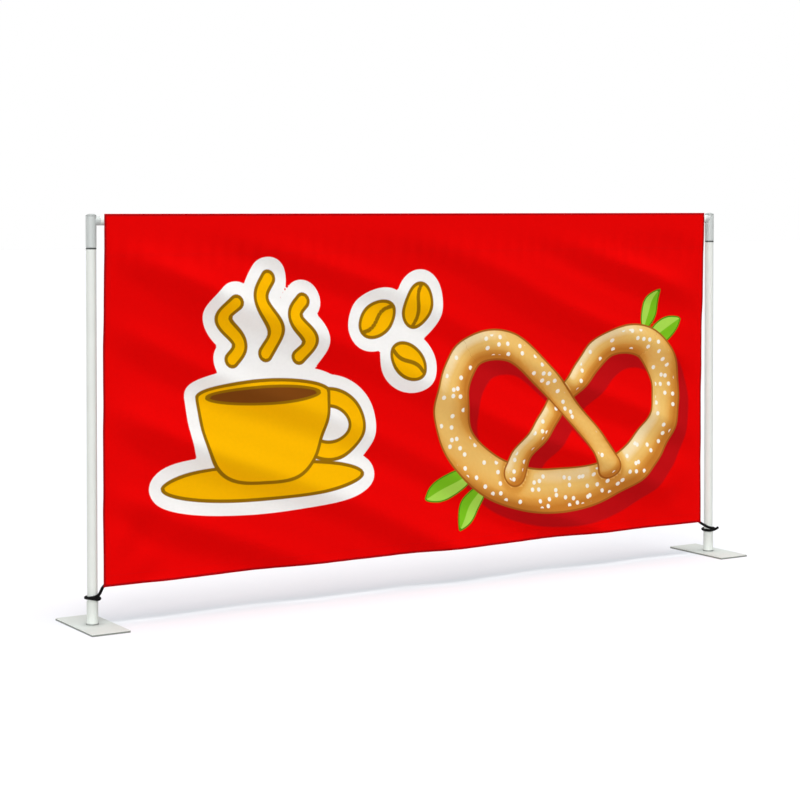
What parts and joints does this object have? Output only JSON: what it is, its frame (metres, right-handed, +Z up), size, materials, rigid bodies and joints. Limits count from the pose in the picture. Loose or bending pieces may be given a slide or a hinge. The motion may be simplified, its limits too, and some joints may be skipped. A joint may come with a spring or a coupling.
{
  "type": "cafe barrier",
  "caption": "Cafe barrier: a cloth banner hung on a crossbar between tube posts with corner connectors, tied at its lower corners, on flat plate feet.",
  "frame": {"origin": "on the floor, midway between the two posts", "axes": "+X along the barrier from the left post to the right one, the printed face looks towards -Y, +Z up"},
  "size_m": [2.05, 0.23, 1],
  "materials": {
    "painted_steel": "satin pale grey powder coat",
    "grey_nylon": "moulded grey nylon, satin",
    "dark_rubber": "matt dark grey rubber",
    "zinc_steel": "turned, zinc plated",
    "printed_cloth": null,
    "black_webbing": "woven black webbing",
    "black_elastic": "braided black elastic cord"
  },
  "bodies": {
    "frame": {"crossbar": "painted_steel", "banner": "printed_cloth", "corner_tab_left": "black_webbing", "corner_tab_right": "black_webbing"},
    "left_end": {"connector_left": "grey_nylon", "connector_cap_left": "grey_nylon", "swivel_ring_left": "dark_rubber", "tie_left": "black_elastic"},
    "left_foot": {"post_left": "painted_steel", "post_plug_left": "zinc_steel", "foot_socket_left": "painted_steel", "foot_plate_left": "painted_steel", "foot_screw_left": "zinc_steel"},
    "right_end": {"connector_right": "grey_nylon", "connector_cap_right": "grey_nylon", "swivel_ring_right": "dark_rubber", "tie_right": "black_elastic"},
    "right_foot": {"post_right": "painted_steel", "post_plug_right": "zinc_steel", "foot_socket_right": "painted_steel", "foot_plate_right": "painted_steel", "foot_screw_right": "zinc_steel"}
  },
  "joints": [
    {"name": "left_connector_pull", "type": "slide", "parent": "frame", "child": "left_end", "axis": [-1, 0, 0], "range_m": [0, 0.048], "deforming": ["tie_left"]},
    {"name": "left_foot_swivel", "type": "hinge", "parent": "left_end", "child": "left_foot", "pos_m": [-0.975, 0, 0], "axis": [0, 0, 1], "continuous": true},
    {"name": "right_connector_pull", "type": "slide", "parent": "frame", "child": "right_end", "axis": [1, 0, 0], "range_m": [0, 0.048], "deforming": ["tie_right"]},
    {"name": "right_foot_swivel", "type": "hinge", "parent": "right_end", "child": "right_foot", "pos_m": [0.975, 0, 0], "axis": [0, 0, 1], "continuous": true}
  ]
}
